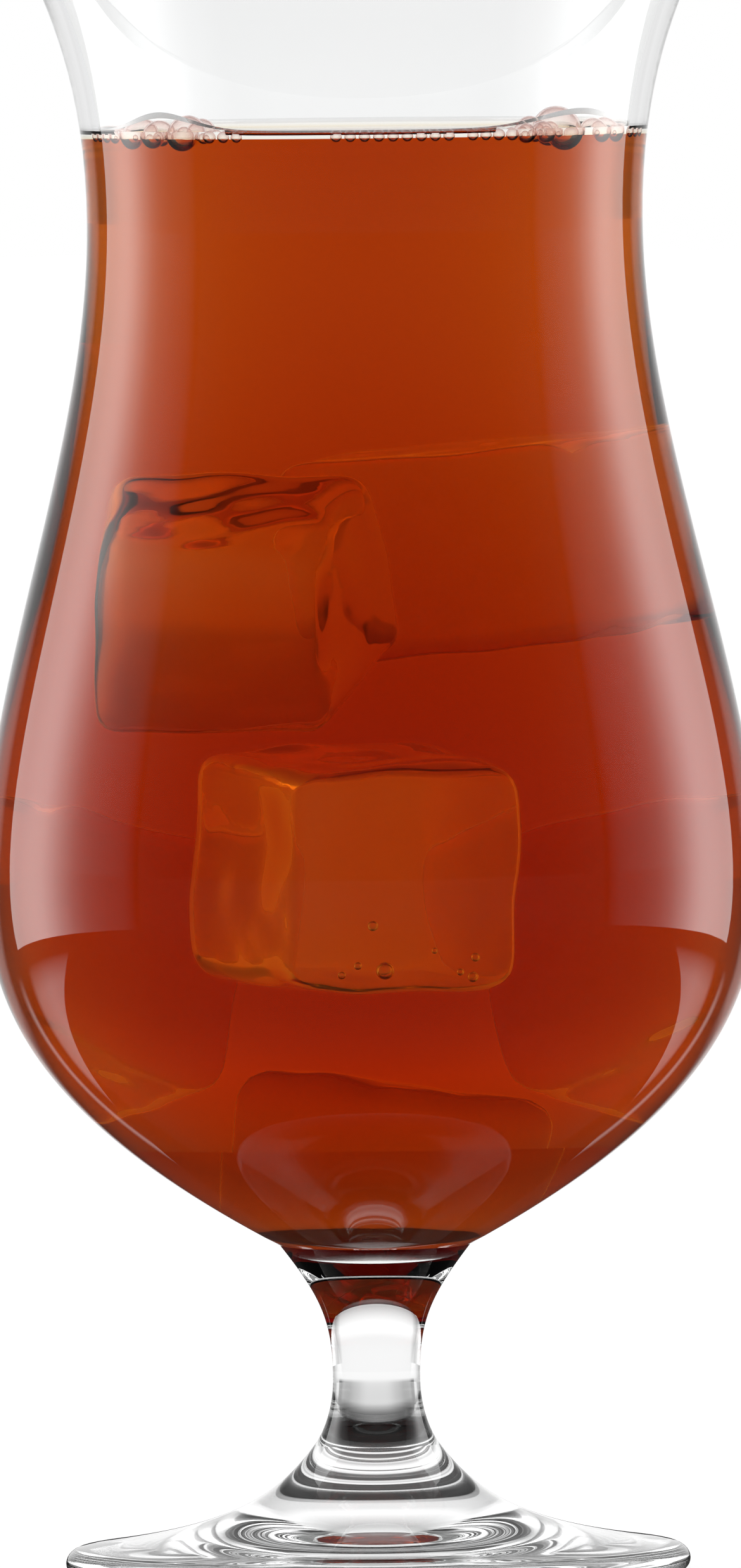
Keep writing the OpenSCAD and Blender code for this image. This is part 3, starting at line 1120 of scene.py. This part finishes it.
def table_material():
    """A pale table that keeps a faint shadow. The glass shows and mirrors it at a brightness of its own,
    which is painted light: the table glows with a painted shadow round the foot and a painted reflection.
    """
    material, nodes, links, shader = node_material("table")
    nodes.remove(shader)
    path = nodes.new("ShaderNodeLightPath")
    shade = nodes.new("ShaderNodeBsdfDiffuse")
    shade.inputs["Color"].default_value = (TABLE_GREY, TABLE_GREY, TABLE_GREY, 1)
    white = nodes.new("ShaderNodeEmission")
    white.inputs["Strength"].default_value = TABLE_GLOW
    eye = nodes.new("ShaderNodeAddShader")
    links.new(shade.outputs["BSDF"], eye.inputs[0])
    links.new(white.outputs["Emission"], eye.inputs[1])
    place = nodes.new("ShaderNodeTexCoord")
    parts = nodes.new("ShaderNodeSeparateXYZ")
    links.new(place.outputs["Object"], parts.inputs["Vector"])
    turn = add_directions(nodes, links, "Object")[1]
    away = nodes.new("ShaderNodeVectorMath")
    away.operation = "LENGTH"
    links.new(place.outputs["Object"], away.inputs[0])
    # Painted shadow: what the glass shows of the table glows dark round the foot
    painted_shadow = add_ramp(nodes, links, away.outputs["Value"], TABLE_SHADOW_BY_DISTANCE)
    far = add_ramp(nodes, links, away.outputs["Value"], TABLE_FAR)
    # Painted reflection: what the glass mirrors of the table, dark in front and bright behind
    near_mirrored = add_ramp(nodes, links, turn, TABLE_PAINTED_REFLECTION)
    far_mirrored = add_ramp(nodes, links, turn, MIRRORED_BY_TURN)
    behind = add_math(nodes, links, "GREATER_THAN", parts.outputs["Y"], TABLE_LINE)
    behind_mirrored = add_mix(nodes, links, "FLOAT", far, near_mirrored, far_mirrored)
    mirrored = add_mix(nodes, links, "FLOAT", behind, TABLE_DARK, behind_mirrored)
    near_seen = add_ramp(nodes, links, turn, TABLE_BY_TURN)
    far_seen = add_ramp(nodes, links, turn, TABLE_FAR_BY_TURN)
    by_turn = add_mix(nodes, links, "FLOAT", far, near_seen, far_seen)
    through = add_math(nodes, links, "MULTIPLY", painted_shadow, by_turn)
    bright = add_mix(nodes, links, "FLOAT", path.outputs["Is Transmission Ray"], mirrored, through)
    # The table glows with this painted light only for rays through and off the glass; the eye sees the plain
    # table
    glow = nodes.new("ShaderNodeEmission")
    links.new(bright, glow.inputs["Strength"])
    surface = nodes.new("ShaderNodeMixShader")
    links.new(path.outputs["Is Camera Ray"], surface.inputs["Fac"])
    links.new(glow.outputs["Emission"], surface.inputs[1])
    links.new(eye.outputs["Shader"], surface.inputs[2])
    links.new(surface.outputs["Shader"], nodes["Material Output"].inputs["Surface"])
    return material


def lay_table():
    """The round table that the glass stands on."""
    deselect_all()
    place = (0, 0, -TABLE_DROP)
    bpy.ops.mesh.primitive_circle_add(vertices=TABLE_SIDES, radius=TABLE_R, fill_type="NGON", location=place)
    floor = bpy.context.object
    floor.name = "table"
    floor.data.materials.append(table_material())


def add_softbox(name, c, side, material):
    """A tall softbox, curved round one side of the glass."""
    deselect_all()
    bpy.ops.mesh.primitive_plane_add(size=1, location=(0, 0, 0))
    box = bpy.context.object
    box.name = name
    bpy.ops.object.mode_set(mode="EDIT")
    bpy.ops.mesh.select_all(action="SELECT")
    bpy.ops.mesh.merge(type="CENTER")
    bpy.ops.transform.translate(value=(0, -c.softbox_away, SOFTBOX_LIFT))
    bpy.ops.mesh.extrude_region_move(TRANSFORM_OT_translate={"value": (0, 0, c.softbox_h)})
    bpy.ops.mesh.select_all(action="SELECT")
    bpy.ops.transform.rotate(value=-side * c.softbox_from, orient_axis="Z", center_override=(0, 0, 0))
    turn = side * (c.softbox_from - c.softbox_to)
    bpy.ops.mesh.spin(steps=SOFTBOX_STEPS, angle=turn, center=(0, 0, 0), axis=(0, 0, 1))
    bpy.ops.object.mode_set(mode="OBJECT")
    box.data.materials.append(material)
    box.visible_camera = False
    box.visible_transmission = False
    box.visible_shadow = False


def softbox_material(c):
    """White cloth, lit from behind and fading towards the camera."""
    material, nodes, links, shader = node_material("softbox")
    nodes.remove(shader)
    glow = nodes.new("ShaderNodeEmission")
    turn = add_directions(nodes, links, "Object")[1]
    back = add_math(nodes, links, "SUBTRACT", 1.0, turn)
    ramp = add_ramp(nodes, links, back, SOFTBOX_BY_TURN)
    links.new(add_math(nodes, links, "MULTIPLY", ramp, c.softbox_light), glow.inputs["Strength"])
    links.new(glow.outputs["Emission"], nodes["Material Output"].inputs["Surface"])
    return material


def place_camera(scene, c):
    """The camera at the photograph's viewing angle."""
    data = bpy.data.cameras.new("camera")
    camera = bpy.data.objects.new("camera", data)
    scene.collection.objects.link(camera)
    data.sensor_fit = "VERTICAL"
    data.sensor_height = SENSOR_H
    data.lens = c.lens
    data.clip_end = SIGHT
    place = Vector((0, -c.distance, c.eye_h))
    aim = Vector((0, 0, c.aim_h)) - place
    look = aim.to_track_quat("-Z", "Y").to_matrix().to_4x4()
    camera.matrix_world = Matrix.Translation(place) @ look @ Matrix.Rotation(c.roll, 4, "Z")
    scene.camera = camera


class HG_OT_studio(bpy.types.Operator):
    """Set up the table, the lights and the camera"""

    bl_idname = "hurricane.studio"
    bl_label = "Studio"

    def execute(self, context):
        scene, c = context.scene, context.scene.studio_settings
        light_world(scene)
        lay_table()
        cloth = softbox_material(c)
        add_softbox("softbox_left", c, -1, cloth)
        add_softbox("softbox_right", c, 1, cloth)
        place_camera(scene, c)
        scene.view_settings.view_transform = "Standard"
        for kind, most in BOUNCES.items():
            setattr(scene.cycles, kind, most)
        return {"FINISHED"}


class HG_PT_panel(bpy.types.Panel):
    """All settings, and the steps in their order"""

    bl_idname = "HG_PT_panel"
    bl_label = "Hurricane Glass"
    bl_space_type = "VIEW_3D"
    bl_region_type = "UI"
    bl_category = "Hurricane Glass"

    def draw(self, context):
        for group, title in SETTINGS.items():
            box = self.layout.box()
            box.label(text=title)
            settings = getattr(context.scene, group)
            for name in settings.bl_rna.properties.keys():
                if name not in ("rna_type", "name"):
                    box.prop(settings, name)
        for operator in OPERATORS:
            self.layout.operator(operator.bl_idname)


SETTINGS = {"glass_sizes": "Glass", "drink_settings": "Drink and ice", "studio_settings": "Studio"}
GROUPS = (GlassSizes, DrinkSettings, StudioSettings)
OPERATORS = (
    HG_OT_bowl, HG_OT_stem, HG_OT_foot, HG_OT_ice, HG_OT_drink,
    HG_OT_surface_bubbles, HG_OT_clinging_bubbles, HG_OT_studio,
)


def register():
    """Register the settings, the operators and the panel."""
    for cls in (*GROUPS, *OPERATORS, HG_PT_panel):
        bpy.utils.register_class(cls)
    for name, group in zip(SETTINGS, GROUPS):
        setattr(bpy.types.Scene, name, bpy.props.PointerProperty(type=group))


def unregister():
    """Take them all away again."""
    for name in SETTINGS:
        delattr(bpy.types.Scene, name)
    for cls in (HG_PT_panel, *OPERATORS[::-1], *GROUPS[::-1]):
        bpy.utils.unregister_class(cls)


def main():
    """Make everything in order."""
    register()
    for operator in OPERATORS:
        group, name = operator.bl_idname.split(".")
        getattr(getattr(bpy.ops, group), name)()


if __name__ == "__main__":
    main()
